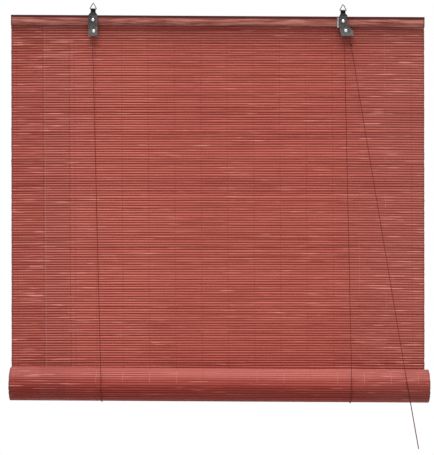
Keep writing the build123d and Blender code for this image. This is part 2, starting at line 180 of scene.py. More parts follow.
class Nodes:
    """A node tree that is filled from the outputs of its own nodes."""

    def __init__(self, tree: bpy.types.NodeTree) -> None:
        """Empty the tree."""
        self.tree = tree
        self.tree.nodes.clear()

    def add(
        self,
        kind: str,
        settings: dict[str, Any],
        sockets: dict[Union[int, str], Input],
        output: Union[int, str] = 0,
    ) -> Optional[Signal]:
        """Add one node: its settings first, then the values or links of its sockets.

        Args:
            kind: The node's type.
            settings: Properties of the node; stops are a ramp's (position, colour) pairs.
            sockets: Input sockets by name or number.
            output: The output to go on with.

        Returns:
            The chosen output, or nothing for a node that has none.
        """
        node = self.tree.nodes.new(kind)
        for key, value in settings.items():
            if key == "stops":
                self._stops(node.color_ramp, value)
            else:
                setattr(node, key, value)
        for key, value in sockets.items():
            if isinstance(value, Signal):
                self.tree.links.new(value.socket, node.inputs[key])
            else:
                node.inputs[key].default_value = value
        return Signal(self, node.outputs[output]) if node.outputs else None

    @staticmethod
    def _stops(ramp: bpy.types.ColorRamp, stops: list[tuple[float, Colour]]) -> None:
        """Set a ramp's stops.

        Args:
            ramp: The ramp.
            stops: Position and colour of each, from the first to the last.
        """
        while len(ramp.elements) < len(stops):
            ramp.elements.new(1.0)
        for element, (position, colour) in zip(ramp.elements, stops):
            element.position = position
            element.color = colour

    def place(self, stretch: Point) -> Signal:
        """Object coordinates, each axis times its own factor."""
        coordinate = self.add("ShaderNodeTexCoord", {}, {}, "Object")
        return self.add("ShaderNodeVectorMath", {"operation": "MULTIPLY"}, {0: coordinate, 1: stretch})

    def axis(self, name: str) -> Signal:
        """One Object coordinate, X, Y or Z, in metres."""
        coordinate = self.add("ShaderNodeTexCoord", {}, {}, "Object")
        return self.add("ShaderNodeSeparateXYZ", {}, {0: coordinate}, name)

    def facing(self, name: str) -> Signal:
        """How squarely the surface faces along one axis, from -1 to 1."""
        normal = self.add("ShaderNodeNewGeometry", {}, {}, "True Normal")
        return self.add("ShaderNodeSeparateXYZ", {}, {0: normal}, name)

    def attribute(self, name: str) -> Signal:
        """A number that the mesh carries at its points."""
        return self.add("ShaderNodeAttribute", {"attribute_name": name}, {}, "Fac")

    def noise(self, where: Signal, detail: float, roughness: float = 0.5) -> Signal:
        """Cloudy noise from 0 to 1 with cells of about unit size."""
        sockets = {"Vector": where, "Scale": 1.0, "Detail": detail, "Roughness": roughness}
        return self.add("ShaderNodeTexNoise", {}, sockets, "Fac")

    def cloud(self, stretch: Point, detail: float = 2.0, roughness: float = 0.5) -> Signal:
        """Cloudy noise on Object coordinates, each axis times its own factor."""
        return self.noise(self.place(stretch), detail, roughness)

    def shifted(self, where: Signal, along: Signal, step: Point) -> Signal:
        """Coordinates moved by a signal times a fixed step."""
        move = self.add("ShaderNodeVectorMath", {"operation": "SCALE"}, {0: step, "Scale": along})
        return self.add("ShaderNodeVectorMath", {"operation": "ADD"}, {0: where, 1: move})

    def mixed(self, factor: Input, first: Input, second: Input) -> Signal:
        """The first colour at factor 0 and the second at factor 1."""
        settings = {"data_type": "RGBA", "clamp_factor": True}
        return self.add("ShaderNodeMix", settings, {0: factor, 6: first, 7: second}, 2)

    def ramp(self, shade: Signal, places: Point, colours: tuple[Colour, ...]) -> Signal:
        """Colours at their places along a shade, blended between them."""
        return self.add("ShaderNodeValToRGB", {"stops": list(zip(places, colours))}, {"Fac": shade})

    def shaded(self, colour: Input, factor: Signal) -> Signal:
        """A colour times a grey level."""
        level = self.add("ShaderNodeCombineXYZ", {}, {0: factor, 1: factor, 2: factor})
        return self.add("ShaderNodeVectorMath", {"operation": "MULTIPLY"}, {0: colour, 1: level})

    def shown(self) -> Signal:
        """1 for rays from the camera, from shiny surfaces and through clear ones, and 0 for all others."""
        ways = ("Is Camera Ray", "Is Glossy Ray", "Is Transmission Ray")
        camera, glossy, clear = (self.add("ShaderNodeLightPath", {}, {}, way) for way in ways)
        return camera.most(glossy).most(clear)

    def bump(self, height: Signal, strength: float, distance: float) -> Signal:
        """A bumped normal from a height signal."""
        sockets = {"Strength": strength, "Distance": distance, "Height": height}
        return self.add("ShaderNodeBump", {}, sockets)


@dataclass(frozen=True)
class Finish:
    """A procedural surface; each kind says how its nodes are joined.

    In every kind a stretch is a noise's cells per metre along each axis, and a share is how much of a colour
    or level a mask brings in. A pair gives where a mask starts and is full. For roughness and level it is the
    value at 0 and what that gains up to 1, and for bump the strength and depth of the relief.
    """

    name: str

    def material(self) -> bpy.types.Material:
        """Make the material once and give the same one afterwards.

        Returns:
            The material with its node tree.
        """
        known = bpy.data.materials.get(self.name)
        if known is not None:
            return known
        made = bpy.data.materials.new(self.name)
        made.use_nodes = True
        nodes = Nodes(made.node_tree)
        surface = nodes.add("ShaderNodeBsdfPrincipled", {}, self.sockets(nodes))
        nodes.add("ShaderNodeOutputMaterial", {}, {"Surface": surface})
        return made

    def sockets(self, nodes: Nodes) -> dict[str, Input]:
        """The shader's inputs; a plain finish has none of its own."""
        return {}


@dataclass(frozen=True)
class StainedBamboo(Finish):
    """Bamboo splits under a thin red-brown stain, darkest in the joints and at the cut ends, with painted
    shade and highlight across each slat.
    """

    pale: Colour = srgb(209, 110, 95)
    mid: Colour = srgb(183, 87, 75)
    deep: Colour = srgb(135, 50, 41)
    # Colour of the joints' stain and of the painted shade on each slat's half towards the next slat.
    soaked_and_shaded: Colour = srgb(104, 14, 9)
    # Colour of the painted highlight on the upper half of the mat's slats.
    worn: Colour = srgb(226, 142, 127)
    end_grain: Colour = srgb(92, 64, 68)
    cut: Colour = srgb(188, 122, 98)
    scuffed: Colour = srgb(236, 152, 138)
    # Paler colour towards the mat's ends, also used for the painted sheen on the roll's top.
    pale_tint: Colour = srgb(190, 113, 104)
    gloss: float = 0.12
    roughness: Pair = (0.42, 0.26)
    bump: Pair = (0.35, 0.0004)
    shade_places: Point = (0.1, 0.5, 0.9)
    shade_base: float = -0.45
    tone_share: float = 0.5
    fine_share: float = 0.4
    lit_share: float = 0.1
    fibre_stretch: Point = (7.0, 600.0, 600.0)
    fibre_step: Point = (9.0, 0.0, 0.0)
    fine_stretch: Point = (38.0, 2600.0, 2600.0)
    coarse_relief: float = 0.7
    fine_relief: float = 0.3
    ring_relief: float = 0.4
    node_spacing: float = 0.37
    node_step: float = 7.3
    node_half_width: float = 0.0018
    ring_share: float = 0.2
    edge: Pair = (0.26, 0.47)
    edge_share: float = 0.15
    edge_faded: float = 0.3
    edge_scuff: float = 0.06
    # Heights at which a painted sheen pales the top of the roll; none lies on the mat.
    top_sheen: Pair = (1.0, 1.1)
    top_sheen_share: float = 0.7
    # A painted shadow of the rail darkens a band of the mat just under it.
    rail_shadow_low: Pair = (-0.078, -0.036)
    rail_shadow_high: Pair = (-0.024, -0.036)
    rail_shadow_share: float = 0.3
    outer_bay: Pair = (-0.414, -0.421)
    # From the second bay to left of middle the joints' stain, painted shade and painted highlight are
    # stronger.
    contrast_left: Pair = (-0.424, -0.416)
    left_band_end: Pair = (-0.100, -0.200)
    contrast_share: float = 0.35
    lit_left: Pair = (-0.360, -0.350)
    scuff_stretch: Point = (15.0, 330.0, 330.0)
    scuff: Pair = (0.66, 0.77)
    scuff_share: float = 0.65
    joint_base: float = 0.1
    joint_share: float = 1.8
    worn_share: float = 0.5
    end_share: float = 0.4
    sawn: Pair = (0.7, 0.9)
    sawn_share: float = 0.95
    bundle_stretch: Point = (1500.0, 1500.0, 1500.0)
    bundle: Pair = (0.45, 0.65)
    bundle_share: float = 0.45

    def sockets(self, nodes: Nodes) -> dict[str, Input]:
        """Fibres along the slat shift its tone; growth rings, joints and ends are darker, sawn faces paler,
        and painted shade and highlight lie over them.

        Args:
            nodes: The tree to fill.

        Returns:
            The shader's inputs.
        """
        tone = nodes.attribute("tone")
        fibres = nodes.shifted(nodes.place(self.fibre_stretch), tone, self.fibre_step)
        coarse = nodes.noise(fibres, detail=3.0, roughness=0.6)
        fine = nodes.cloud(self.fine_stretch)
        length = nodes.axis("X")
        height = nodes.axis("Z")
        right = length.between(*self.left_band_end)
        # A stretch left of middle with stronger joint contrast, painted shade and highlight included.
        contrast = length.between(*self.contrast_left) * right
        lit = length.between(*self.lit_left) * right
        shade = tone * self.tone_share + coarse + fine * self.fine_share + lit * self.lit_share
        colour = nodes.ramp(shade + self.shade_base, self.shade_places, (self.deep, self.mid, self.pale))
        along = (length / self.node_spacing + tone * self.node_step).fraction()
        ring = (abs(along.centred()) * self.node_spacing).between(self.node_half_width, 0.0)
        edge = abs(length).between(*self.edge)
        # Painted shadow of the rail on the mat.
        rail_shadow = height.between(*self.rail_shadow_low) * height.between(*self.rail_shadow_high)
        # Painted sheen on the top of the roll.
        top_sheen = height.between(*self.top_sheen)
        pale_tint = edge * (1.0 - length.between(*self.outer_bay)) * self.edge_faded
        colour = nodes.mixed(pale_tint.most(top_sheen * self.top_sheen_share), colour, self.pale_tint)
        kept = (1.0 - ring * self.ring_share) * (1.0 - edge * self.edge_share)
        colour = nodes.shaded(colour, kept * (1.0 - rail_shadow * self.rail_shadow_share))
        scuff = nodes.cloud(self.scuff_stretch, detail=1.0) + edge * self.edge_scuff
        colour = nodes.mixed(scuff.between(*self.scuff) * self.scuff_share, colour, self.scuffed)
        # Joints darken with stain and with a painted shade on each slat's half towards the next slat; where
        # the layer is below 0 it paints a highlight on the upper half.
        joint_strength = coarse * self.joint_share + self.joint_base
        joint = nodes.attribute("joint") * joint_strength * (1.0 + contrast * self.contrast_share)
        colour = nodes.mixed(joint * -self.worn_share, colour, self.worn)
        colour = nodes.mixed(joint, colour, self.soaked_and_shaded)
        colour = nodes.mixed(nodes.attribute("end") * self.end_share, colour, self.end_grain)
        sawn = abs(nodes.facing("X")).between(*self.sawn)
        bundle = nodes.cloud(self.bundle_stretch, detail=1.0).between(*self.bundle)
        colour = nodes.mixed(sawn * (self.sawn_share - bundle * self.bundle_share), colour, self.cut)
        relief = coarse * self.coarse_relief + fine * self.fine_relief + ring * self.ring_relief
        return {
            "Base Color": colour,
            "Roughness": coarse.raised(*self.roughness),
            "Specular IOR Level": self.gloss,
            "Normal": nodes.bump(relief, *self.bump),
        }


@dataclass(frozen=True)
class StainedRail(Finish):
    """Open-grained wood under the same stain, greyer, with a dark upper edge and dark ends."""

    pale: Colour = srgb(192, 126, 112)
    mid: Colour = srgb(160, 90, 80)
    deep: Colour = srgb(98, 42, 38)
    edge: Colour = srgb(66, 20, 20)
    gloss: float = 0.2
    roughness: Pair = (0.5, 0.22)
    bump: Pair = (0.4, 0.0005)
    shade_places: Point = (0.2, 0.5, 0.8)
    shade_base: float = 0.5
    cloud_stretch: Point = (3.0, 14.0, 14.0)
    cloud_share: float = 0.3
    grain_stretch: Point = (9.0, 210.0, 210.0)
    grain_step: Point = (0.0, 3.0, 5.0)
    grain_share: float = 1.9
    grain_relief: float = 0.5
    pore_stretch: Point = (26.0, 1100.0, 1100.0)
    pore_relief: float = 0.5
    # Painted shade: the rail's front darkens towards its bottom edge.
    lower_shade: Pair = (-0.001, -0.018)
    lower_shade_level: Pair = (1.3, -0.68)
    upper_edge: Pair = (-0.0016, 0.0016)
    upper_ragged: float = 0.004
    edge_share: float = 0.97
    end: Pair = (0.496, 0.498)
    end_share: float = 0.7

    def sockets(self, nodes: Nodes) -> dict[str, Input]:
        """Two scales of grain run along the rail, its front darker downwards as painted shade, and its upper
        edge and ends are dark.

        Args:
            nodes: The tree to fill.

        Returns:
            The shader's inputs.
        """
        cloud = nodes.cloud(self.cloud_stretch)
        fibres = nodes.shifted(nodes.place(self.grain_stretch), cloud, self.grain_step)
        grain = nodes.noise(fibres, detail=4.0, roughness=0.62)
        pore = nodes.cloud(self.pore_stretch)
        shade = grain.centred() * self.grain_share + pore.centred() + cloud.centred() * self.cloud_share
        colour = nodes.ramp(shade + self.shade_base, self.shade_places, (self.deep, self.mid, self.pale))
        height = nodes.axis("Z")
        colour = nodes.shaded(colour, height.between(*self.lower_shade).raised(*self.lower_shade_level))
        end = abs(nodes.axis("X")).between(*self.end)
        upper = (height + cloud.centred() * self.upper_ragged).between(*self.upper_edge)
        return {
            "Base Color": nodes.mixed(upper.most(end * self.end_share) * self.edge_share, colour, self.edge),
            "Roughness": pore.raised(*self.roughness),
            "Specular IOR Level": self.gloss,
            "Normal": nodes.bump(grain * self.grain_relief + pore * self.pore_relief, *self.bump),
        }


@dataclass(frozen=True)
class LaidCord(Finish):
    """Thin laid cord of dark maroon yarn, with strands that run round it at a slant."""

    pale: Colour = srgb(146, 56, 50)
    deep: Colour = srgb(84, 27, 26)
    gloss: float = 0.1
    roughness: Pair = (0.72, 0.2)
    bump: Pair = (0.6, 0.0003)
    strand_length: float = 0.0026
    slant: float = 0.8
    nap_stretch: Point = (4000.0, 4000.0, 4000.0)
    nap_share: float = 0.35
    nap_relief: float = 0.2

    def sockets(self, nodes: Nodes) -> dict[str, Input]:
        """Slanting bands make the strands, and fine noise makes the yarn's nap.

        Args:
            nodes: The tree to fill.

        Returns:
            The shader's inputs.
        """
        way = nodes.axis("X") + nodes.axis("Z") + nodes.axis("Y") * self.slant
        strand = (way * (FULL_TURN / self.strand_length)).sine().raised(0.5, 0.5)
        nap = nodes.cloud(self.nap_stretch)
        light = strand * (1.0 - self.nap_share) + nap * self.nap_share
        relief = strand * (1.0 - self.nap_relief) + nap * self.nap_relief
        return {
            "Base Color": nodes.mixed(light, self.deep, self.pale),
            "Roughness": nap.raised(*self.roughness),
            "Specular IOR Level": self.gloss,
            "Normal": nodes.bump(relief, *self.bump),
        }


@dataclass(frozen=True)
class WarpThread(Finish):
    """Twined cotton thread, dyed with the slats and worn pale in places; on the roll part of the paleness is
    a painted highlight.
    """

    pale: Colour = srgb(226, 150, 136)
    deep: Colour = srgb(146, 62, 54)
    gloss: float = 0.2
    roughness: float = 0.8
    bump: Pair = (0.4, 0.0002)
    worn_stretch: Point = (8.0, 30.0, 30.0)
    worn: Pair = (0.5, 0.9)
    worn_share: float = 0.8
    yarn_stretch: Point = (2500.0, 2500.0, 2500.0)
    yarn_share: float = 0.2

    def sockets(self, nodes: Nodes) -> dict[str, Input]:
        """Each line's own paleness and slow noise decide how pale the thread is: worn dye, and on the roll
        partly a painted highlight.

        Args:
            nodes: The tree to fill.

        Returns:
            The shader's inputs.
        """
        worn = (nodes.cloud(self.worn_stretch) + nodes.attribute("tone")).centred().between(*self.worn)
        yarn = nodes.cloud(self.yarn_stretch)
        light = worn * self.worn_share + yarn * self.yarn_share
        return {
            "Base Color": nodes.mixed(light, self.deep, self.pale),
            "Roughness": self.roughness,
            "Specular IOR Level": self.gloss,
            "Normal": nodes.bump(yarn, *self.bump),
        }


@dataclass(frozen=True)
class RolledSteel(Finish):
    """Rolled sheet steel, dull grey with fine streaks, dark round the curl that holds the ring, and paler at
    its foot as a painted reflection.

    Attributes:
        bare_x: Left of this the steel is bare, as on the edge of a folded flange; right of it the flange
            keeps the housing's darker colour as a painted contact shadow.
    """

    pale: Colour = srgb(104, 101, 100)
    deep: Colour = srgb(58, 57, 58)
    dark_neck: Colour = srgb(20, 19, 20)
    bare: Colour = srgb(190, 190, 192)
    roughness: Pair = (0.32, 0.3)
    bump: Pair = (0.12, 0.0002)
    shade_base: float = 0.35
    streak_stretch: Point = (900.0, 900.0, 60.0)
    streak_share: float = 0.9
    smudge_stretch: Point = (140.0, 140.0, 140.0)
    smudge_share: float = 2.0
    # Painted reflection: the strap is paler towards its foot.
    foot: Pair = (-0.016, -0.036)
    foot_reflection_share: float = 0.6
    dark_neck_low: Pair = (0.0052, 0.0082)
    dark_neck_high: Pair = (0.0222, 0.0205)
    dark_neck_ragged: float = 0.002
    dark_neck_share: float = 0.94
    bare_x: float = -1.0
    bare_soft: float = 0.0004
    bare_smudge: Pair = (0.2, 0.5)

    def sockets(self, nodes: Nodes) -> dict[str, Input]:
        """Streaks run up the strap, its foot is paler as a painted reflection, and the neck is dark between
        two heights.

        Args:
            nodes: The tree to fill.

        Returns:
            The shader's inputs.
        """
        streak = nodes.cloud(self.streak_stretch, detail=3.0)
        smudge = nodes.cloud(self.smudge_stretch, detail=3.0, roughness=0.6)
        height = nodes.axis("Z")
        ragged = height + smudge.centred() * self.dark_neck_ragged
        dark_neck = ragged.between(*self.dark_neck_low) * ragged.between(*self.dark_neck_high)
        foot = height.between(*self.foot)
        shade = streak.centred() * self.streak_share + smudge.centred() * self.smudge_share
        colour = nodes.mixed(shade + foot * self.foot_reflection_share + self.shade_base, self.deep, self.pale)
        bare = nodes.axis("X").between(self.bare_x + self.bare_soft, self.bare_x - self.bare_soft)
        colour = nodes.mixed(bare * smudge.between(*self.bare_smudge), colour, self.bare)
        return {
            "Base Color": nodes.mixed(dark_neck * self.dark_neck_share, colour, self.dark_neck),
            "Metallic": 1.0,
            "Roughness": smudge.raised(*self.roughness),
            "Normal": nodes.bump(streak, *self.bump),
        }


@dataclass(frozen=True)
class BrightMetal(Finish):
    """Bare bright metal with fine turning marks and a little tarnish."""

    bright: Colour = srgb(232, 230, 226)
    dull: Colour = srgb(168, 166, 164)
    roughness: Pair = (0.2, 0.2)
    bump: Pair = (0.1, 0.0001)
    tarnish_stretch: Point = (260.0, 260.0, 260.0)
    tarnish: Pair = (0.35, 0.8)
    fine_stretch: Point = (3000.0, 3000.0, 3000.0)

    def sockets(self, nodes: Nodes) -> dict[str, Input]:
        """Slow noise tarnishes the metal, and fine noise breaks up its shine.

        Args:
            nodes: The tree to fill.

        Returns:
            The shader's inputs.
        """
        tarnish = nodes.cloud(self.tarnish_stretch, detail=3.0)
        fine = nodes.cloud(self.fine_stretch)
        return {
            "Base Color": nodes.mixed(tarnish.between(*self.tarnish), self.bright, self.dull),
            "Metallic": 1.0,
            "Roughness": fine.raised(*self.roughness),
            "Normal": nodes.bump(fine, *self.bump),
        }


@dataclass(frozen=True)
class PaleFloor(Finish):
    """A plain pale floor with the faintest mottling, which throws little light back up."""

    light: Colour = (0.88, 0.88, 0.88, 1.0)
    shade: Colour = (0.84, 0.84, 0.84, 1.0)
    thrown: Colour = (0.4, 0.4, 0.4, 1.0)
    roughness: float = 0.9
    mottle_stretch: Point = (1.5, 1.5, 1.5)

    def sockets(self, nodes: Nodes) -> dict[str, Input]:
        """Slow noise moves between two near whites, for rays that show the floor."""
        colour = nodes.mixed(nodes.cloud(self.mottle_stretch), self.light, self.shade)
        return {"Base Color": nodes.mixed(nodes.shown(), self.thrown, colour), "Roughness": self.roughness}


BAMBOO = StainedBamboo("stained_bamboo")
# The roll's finish paints a sheen on its top.
ROLLED_BAMBOO = StainedBamboo("bamboo_with_painted_sheen", gloss=0.14, top_sheen=(-0.872, -0.852))
RAIL_WOOD = StainedRail("stained_rail_wood")
CORD = LaidCord("laid_cord")
LOOSE_CORD = LaidCord("loosened_cord", srgb(122, 40, 36), srgb(58, 15, 15))
THREAD = WarpThread("warp_thread")
SHEET_STEEL = RolledSteel("rolled_sheet_steel")
# Its bare edge stops short of the flange's side, leaving a painted contact shadow.
FLANGED_STEEL = RolledSteel("flanged_sheet_steel", bare_x=0.2920)
RING_STEEL = BrightMetal("ring_wire", srgb(96, 94, 94), srgb(52, 50, 52))
BRIGHT_STEEL = BrightMetal("bright_steel")
BRASS = BrightMetal("turned_brass", srgb(176, 146, 88), srgb(118, 94, 54))
FLOOR = PaleFloor("pale_floor")


def linked(name: str, data: bpy.types.ID) -> bpy.types.Object:
    """Put a new object into the scene, at the origin.

    Args:
        name: The object's name.
        data: Its mesh, lamp or camera.

    Returns:
        The object.
    """
    made = bpy.data.objects.new(name, data)
    bpy.context.scene.collection.objects.link(made)
    return made


@dataclass
class Shape:
    """A mesh as whole arrays.

    Attributes:
        points: One row of x, y, z for each point.
        faces: Arrays of point numbers, one row for each face, each array with its own count of corners.
        layers: Numbers that the points carry, by name.
    """

    points: np.ndarray
    faces: list[np.ndarray]
    layers: dict[str, np.ndarray] = field(default_factory=dict)

    def joined(self, other: "Shape") -> "Shape":
        """Both shapes as one mesh, without layers."""
        moved = [face + len(self.points) for face in other.faces]
        return Shape(np.concatenate([self.points, other.points]), self.faces + moved)

    def piece(self, name: str, finish: Finish, slot: Slot, sharp_angle: float = 0.9) -> bpy.types.Object:
        """Put the arrays into a mesh object at the origin.

        Args:
            name: The piece's name.
            finish: Its surface.
            slot: The record's slot that the finish stands for; not used.
            sharp_angle: Edges that turn by more than this stay sharp, in radians.

        Returns:
            The linked object.
        """
        mesh = bpy.data.meshes.new(name)
        corners = np.concatenate([face.ravel() for face in self.faces])
        counts = np.concatenate([np.full(len(face), face.shape[1]) for face in self.faces])
        mesh.vertices.add(len(self.points))
        mesh.vertices.foreach_set("co", self.points.astype(np.float32).ravel())
        mesh.loops.add(len(corners))
        mesh.loops.foreach_set("vertex_index", corners.astype(np.int32))
        mesh.polygons.add(len(counts))
        mesh.polygons.foreach_set("loop_start", (np.cumsum(counts) - counts).astype(np.int32))
        mesh.update(calc_edges=True)
        mesh.validate()
        mesh.polygons.foreach_set("use_smooth", np.ones(len(counts), dtype=bool))
        mesh.set_sharp_from_angle(angle=sharp_angle)
        for key, values in self.layers.items():
            layer = mesh.attributes.new(key, "FLOAT", "POINT")
            layer.data.foreach_set("value", values.astype(np.float32).ravel())
        mesh.materials.append(finish.material())
        made = linked(name, mesh)
        return made


def circle(count: int) -> np.ndarray:
    """Even angles round a full turn, from 0."""
    return np.linspace(0.0, FULL_TURN, count, endpoint=False)


def ring_faces(strips: int, rings: int, sides: int) -> list[np.ndarray]:
    """Faces of closed bars: each strip is a row of rings, joined side by side and closed at both ends.

    Args:
        strips: How many bars lie in the point array.
        rings: Rings along each bar.
        sides: Points round each ring.

    Returns:
        The quads of the sides, and the two end faces of each bar.
    """
    number = np.arange(strips * rings * sides).reshape(strips, rings, sides)
    near, far = number[:, :-1], number[:, 1:]
    quads = np.stack([near, np.roll(near, -1, 2), np.roll(far, -1, 2), far], axis=-1)
    ends = np.concatenate([number[:, 0, ::-1], number[:, -1]])
    return [quads.reshape(-1, 4), ends]


def tube(path: np.ndarray, radius: Union[float, np.ndarray] = CORD_RADIUS, across: Point = SIDEWAYS) -> Shape:
    """A round bar along a path: each ring is the path's point plus a circle square to its tangent.

    Args:
        path: Points down the middle, one row each.
        radius: The bar's radius, or one for each point.
        across: A direction that the path never runs along.

    Returns:
        The closed tube.
    """
    tangent = np.gradient(path, axis=0)
    tangent /= np.linalg.norm(tangent, axis=1, keepdims=True)
    first = np.cross(tangent, across)
    first /= np.linalg.norm(first, axis=1, keepdims=True)
    second = np.cross(tangent, first)
    turn = circle(CORD_SIDES)[None, :, None]
    reach = np.reshape(radius, (-1, 1, 1))
    rings = path[:, None] + reach * (np.cos(turn) * first[:, None] + np.sin(turn) * second[:, None])
    return Shape(rings.reshape(-1, 3), ring_faces(1, len(path), CORD_SIDES))


def rides(piece: bpy.types.Object, body: Body, *nodes: str) -> bpy.types.Object:
    """Let a piece move with a body and stand for CAD nodes.

    Args:
        piece: The new piece.
        body: The body that carries it.
        nodes: The CAD nodes that it replaces.

    Returns:
        The same piece.
    """
    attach(piece, body.value)
    if nodes:
        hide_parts(*nodes)
    log.info("%s rides on %s with %d faces", piece.name, body.value, len(piece.data.polygons))
    return piece


def gathers(piece: bpy.types.Object) -> None:
    """Give a hanging piece its own copy of its mesh.

    Args:
        piece: The piece.
    """
    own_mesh(piece)


@dataclass
class SlatStrip:
    """Bamboo slats side by side, held by pairs of twined warp threads; each kind says where they lie.

    Attributes:
        centres: The middle of each slat's section, as rows of y and z.
        tangents: The unit direction from each towards the next slat.
        normals: The unit direction out of its front face.
        middle_x: Middle of the strip's width.
        width: Length of a slat.
        pitch: Distance between slats.
        thickness: Thickness of a slat.
        seed: Start of the strip's random numbers.
        bay_steps: Stations along each bay between warp threads.
        upper_soak_and_highlight: How dark a slat's first edge is, as a share of its last edge, the darkness
            being a real darker joint with painted shade; below 0 the edge takes a painted highlight.
        tone_middle: How pale the slats are on the whole, from 0 to 1.
        drift: How far the last slat stands to the right of the first.
        slope: How far the slats between the first and last few rise to the right, per metre.
        droop: How far their ends hang below their middle.
        warp_drift: How far the warp lines move to the right along the slats, from the first to the last.
        side_lines: Further warp lines, each by the line it lies beside and its distance to the right of it.
        pale_lines: Lines whose threads are paler and by how much, counting the further lines last; on the mat
            the dye has worn off, on the roll the paleness is partly worn dye and partly a painted highlight.
        pale_slats: The first and last slat between which the lines are paler.
        settle_count: Over how many slats the slope and droop fade out at either end.
        blend_rate: How sharply one bay goes over into the next at a warp line.
        index_margin: How far short of the last bay's middle the blending stops, in bays.
        wave_counts: The waves per metre that a joint's wander is made of.
        loose_from: From this share of the width on, more joints stand open, by loose_gain.
        round_power: The least and the largest power of the section's outline.
        fullness: The section's thickness as a share of the slat's.
        thread_steps: Where a thread's rings stand along a slat, in pitches.
        thread_levels: How far out each of them lies, as a share.
    """

    centres: np.ndarray = field(init=False)
    tangents: np.ndarray = field(init=False)
    normals: np.ndarray = field(init=False)
    middle_x: float = field(init=False)
    width: float = field(init=False)
    pitch: float = field(init=False)
    thickness: float = field(init=False)
    seed: int = 1
    bay_steps: int = 1
    upper_soak_and_highlight: float = 0.5
    tone_middle: float = 0.5
    drift: float = 0.0
    slope: float = 0.0
    droop: float = 0.0
    warp_drift: float = 0.0
    warp_first: float = 0.0116
    side_lines: Lines = ()
    pale_lines: Lines = ()
    pale_slats: Pair = (-10.0, 1000.0)
    settle_count: int = 8
    warp_pitch: float = 0.0637
    warp_lines: int = 16
    blend_rate: float = 6.0
    index_margin: float = 0.001
    wander: float = 0.00020
    wave_counts: tuple[float, ...] = (1.3, 3.1, 7.7)
    closed_gap: float = -0.00005
    open_gap: float = 0.0003
    open_least: float = 0.3
    open_share: float = 0.004
    loose_from: float = 0.78
    loose_gain: float = 3.0
    corner_angles: tuple[float, ...] = (22.0, 60.0, 90.0, 120.0, 158.0)
    round_power: Pair = (1.0, 1.4)
    fullness: float = 0.96
    tilt_spread: float = 0.045
    twist_waves: float = 2.6
    bay_tilt_spread: float = 0.04
    proud_spread: float = 0.00012
    proud_most: float = 0.0002
    end_spread: float = 0.00018
    end_band: float = 0.0056
    tone_spread: float = 0.15
    bay_tone_spread: float = 0.07
    upper_edge_power: float = 1.5
    thread_radius: float = 0.00033
    thread_spacing: float = 0.00050
    thread_lift: float = -0.1
    thread_sides: int = 4
    thread_steps: tuple[float, ...] = (-0.5, -0.28, 0.0, 0.28)
    thread_levels: tuple[float, ...] = (0.0, 0.95, 1.0, 0.95)
    thread_wander: float = 0.0003
    thread_pale: float = 0.6

    def warp_x(self) -> np.ndarray:
        """The x of each warp line, at an even pitch from the left end."""
        left = self.middle_x - self.width / 2 + self.warp_first
        return left + self.warp_pitch * np.arange(self.warp_lines)

    def thread_x(self) -> np.ndarray:
        """The x of each warp line, and then of the further lines laid in beside some of them."""
        even = self.warp_x()
        return np.concatenate([even, [even[line] + step for line, step in self.side_lines]])

    def stations(self) -> np.ndarray:
        """The x of each ring along a slat: close together at the ends and even between warp lines.

        Returns:
            The stations from left to right.
        """
        warp = self.warp_x()
        steps = self.bay_steps * (self.warp_lines - 1) + 1
        half = self.width / 2
        inset = np.array([0.0, self.end_band / 2, self.end_band])
        left = self.middle_x - half + inset
        right = self.middle_x + half - inset[::-1]
        return np.concatenate([left, np.linspace(warp[0], warp[-1], steps), right])

    def lay(self, index: np.ndarray, x: np.ndarray) -> np.ndarray:
        """How far down the strip a place lies below its even pitch: the slats find their own level.

        It is the droop times the fourth power of the share of half the width, less the slope times x, and
        it fades out over the first and last few slats.

        Args:
            index: The slat number, a joint being half-way between two.
            x: The place along the slat.

        Returns:
            The offset along the path.
        """
        count = len(self.centres)
        settled = np.clip(np.minimum(index, count - index) / self.settle_count, 0.0, 1.0)
        share = (x - self.middle_x) / (self.width / 2)
        return settled * (self.droop * share**4 - self.slope * (x - self.middle_x))

    def bays(self, values: np.ndarray, x: np.ndarray) -> np.ndarray:
        """Numbers of each bay, spread over the stations and blended at the warp lines.

        Args:
            values: One row for each slat and one column for each bay.
            x: The stations.

        Returns:
            One row for each slat and one column for each station.
        """
        last = self.warp_lines - 2
        place = np.clip((x - self.warp_x()[0]) / self.warp_pitch - 0.5, 0.0, last - self.index_margin)
        low = np.floor(place).astype(int)
        blend = np.clip((place - low - 0.5) * self.blend_rate + 0.5, 0.0, 1.0)
        return values[:, low] * (1.0 - blend) + values[:, np.minimum(low + 1, last)] * blend

    def joints(self, random: np.random.Generator, x: np.ndarray) -> tuple[np.ndarray, np.ndarray]:
        """The joints between slats: how each wanders along the blind and how far it stands open.

        The wander is the strip's lay and a sum of three sines of x with random phases. The opening is the
        closed gap plus, in a few bays, a swelling that goes as the squared sine of the place in the bay.

        Args:
            random: The strip's random numbers.
            x: The stations.

        Returns:
            Wander and opening, one row for each joint.
        """
        count = len(self.centres) + 1
        waves = np.array(self.wave_counts)[:, None, None]
        each = (len(waves), count, 1)
        phases = random.uniform(0.0, FULL_TURN, each)
        sizes = random.normal(0.0, self.wander, each) / np.sqrt(waves)
        wander = (sizes * np.sin(FULL_TURN * waves * x + phases)).sum(axis=0)
        wander += self.lay(np.arange(count)[:, None], x)
        bays = self.warp_lines - 1
        place = (x - self.warp_x()[0]) / self.warp_pitch
        bay = np.clip(np.floor(place), 0, bays - 1).astype(int)
        loose = np.linspace(0.0, 1.0, bays) > self.loose_from
        opened = random.random((count, bays)) < self.open_share * (1.0 + self.loose_gain * loose)
        width = random.uniform(self.open_least, 1.0, opened.shape) * opened * self.open_gap
        swelling = np.where((place >= 0) & (place <= bays), np.sin(np.pi * place) ** 2, 0.0)
        return wander, self.closed_gap + width[:, bay] * swelling

